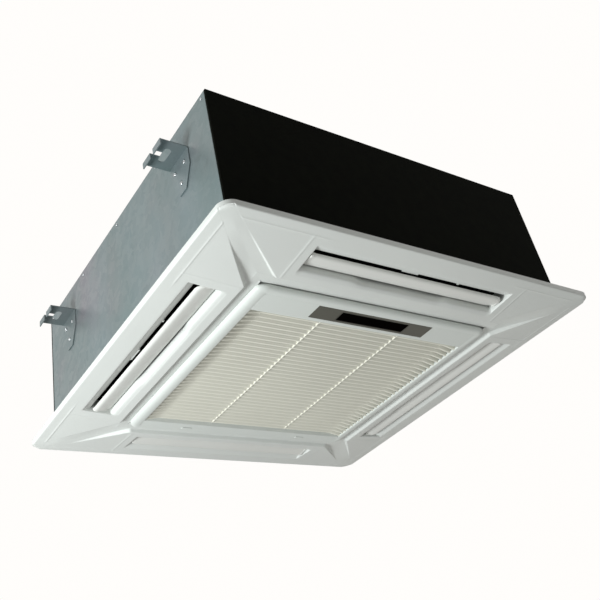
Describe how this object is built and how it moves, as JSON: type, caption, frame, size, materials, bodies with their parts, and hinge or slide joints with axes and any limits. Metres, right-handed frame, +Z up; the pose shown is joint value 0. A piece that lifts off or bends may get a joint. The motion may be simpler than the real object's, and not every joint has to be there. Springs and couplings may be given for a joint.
{
  "type": "ceiling cassette air conditioner",
  "caption": "Square ceiling cassette air conditioner with slotted hangers, louvred outlets on every side and a hinged return grille.",
  "frame": {"origin": "centre of the four rod slots, on the underside of the hangers, where the ceiling rods' washers bear", "axes": "+Z up, -Y the display side with the black foam skin, -X the bare steel side on the left seen from the display side"},
  "size_m": [0.986, 0.95, 0.3518],
  "materials": {
    "galvanised": "galvanised, faint spangle",
    "black_foam": "closed-cell foam sheet",
    "polystyrene": "expanded beads, matte",
    "white_plastic": "fine satin grain",
    "grey_plastic": "moulded, satin",
    "black_plastic": "moulded, satin",
    "bezel_plastic": "smoked grey, satin",
    "window_plastic": "clear black",
    "fins": "thin fins",
    "copper": "drawn copper tube",
    "brass": "turned",
    "rubber": "matte",
    "steel": "turned",
    "motor_paint": "satin",
    "circuit_board": "laminate",
    "filter": "fine net in a frame"
  },
  "bodies": {
    "unit": {"top_plate": "galvanised", "side_wall_left": "galvanised", "side_wall_right": "galvanised", "end_wall_front": "galvanised", "end_wall_rear": "galvanised", "base_frame": "galvanised", "pipe_cover": "galvanised", "hanger_left_front": "galvanised", "hanger_left_rear": "galvanised", "hanger_right_front": "galvanised", "hanger_right_rear": "galvanised", "coil_end_plate_rear": "galvanised", "coil_end_plate_right": "galvanised", "pump_bracket": "galvanised", "motor_plate": "galvanised", "control_box": "galvanised", "control_box_cover": "galvanised", "foam_skin_front": "black_foam", "foam_skin_rear": "black_foam", "panel_gasket": "black_foam", "insulation_liner": "polystyrene", "drain_pan": "polystyrene", "cable_gland": "black_plastic", "coil": "fins", "gas_pipe": "copper", "liquid_pipe": "copper", "gas_flare_nut": "brass", "liquid_flare_nut": "brass", "drain_pump": "grey_plastic", "drain_spigot": "grey_plastic", "bell_mouth": "grey_plastic", "louvre_motor": "grey_plastic", "drain_hose": "rubber", "motor_damper_1": "rubber", "motor_damper_2": "rubber", "motor_damper_3": "rubber", "float_switch": "white_plastic", "panel_frame": "white_plastic", "fan_motor": "motor_paint", "control_board": "circuit_board"},
    "fan": {"fan_shaft": "steel", "fan_wheel": "white_plastic", "fan_nut": "steel"},
    "louvre_front_body": {"louvre_front": "white_plastic", "gear_front_far": "grey_plastic"},
    "louvre_right_body": {"louvre_right": "white_plastic", "gear_right_near": "grey_plastic", "gear_right_far": "grey_plastic"},
    "louvre_rear_body": {"louvre_rear": "white_plastic", "gear_rear_near": "grey_plastic", "gear_rear_far": "grey_plastic"},
    "louvre_left_body": {"louvre_left": "white_plastic", "gear_left_near": "grey_plastic"},
    "grille": {"return_grille": "white_plastic", "air_filter": "filter", "display_bezel": "bezel_plastic", "display_window": "window_plastic"},
    "latch_left_body": {"latch_left": "white_plastic"},
    "latch_right_body": {"latch_right": "white_plastic"},
    "float_body": {"float": "white_plastic"}
  },
  "joints": [
    {"name": "fan_spin", "type": "hinge", "parent": "unit", "child": "fan", "pos_m": [0, 0, -0.1], "axis": [0, 0, 1], "continuous": true},
    {"name": "louvre_front_swing", "type": "hinge", "parent": "unit", "child": "louvre_front_body", "pos_m": [0, -0.384, -0.253], "axis": [1, 0, 0], "range_deg": [-10, 45]},
    {"name": "louvre_right_swing", "type": "hinge", "parent": "unit", "child": "louvre_right_body", "pos_m": [0.384, 0, -0.253], "axis": [0, 1, 0], "range_deg": [-10, 45]},
    {"name": "louvre_rear_swing", "type": "hinge", "parent": "unit", "child": "louvre_rear_body", "pos_m": [0, 0.384, -0.253], "axis": [-1, 0, 0], "range_deg": [-10, 45]},
    {"name": "louvre_left_swing", "type": "hinge", "parent": "unit", "child": "louvre_left_body", "pos_m": [-0.384, 0, -0.253], "axis": [0, -1, 0], "range_deg": [-10, 45]},
    {"name": "grille_hinge", "type": "hinge", "parent": "unit", "child": "grille", "pos_m": [0, -0.29, -0.27], "axis": [-1, 0, 0], "range_deg": [0, 85]},
    {"name": "latch_left_slide", "type": "slide", "parent": "grille", "child": "latch_left_body", "axis": [0, 1, 0], "range_m": [0, 0.006]},
    {"name": "latch_right_slide", "type": "slide", "parent": "grille", "child": "latch_right_body", "axis": [0, 1, 0], "range_m": [0, 0.006]},
    {"name": "float_lift", "type": "slide", "parent": "unit", "child": "float_body", "axis": [0, 0, 1], "range_m": [0, 0.01]}
  ],
  "couplings": [
    {"joint": "louvre_right_swing", "follows": "louvre_front_swing", "ratio": 1},
    {"joint": "louvre_rear_swing", "follows": "louvre_front_swing", "ratio": 1},
    {"joint": "louvre_left_swing", "follows": "louvre_front_swing", "ratio": 1}
  ]
}
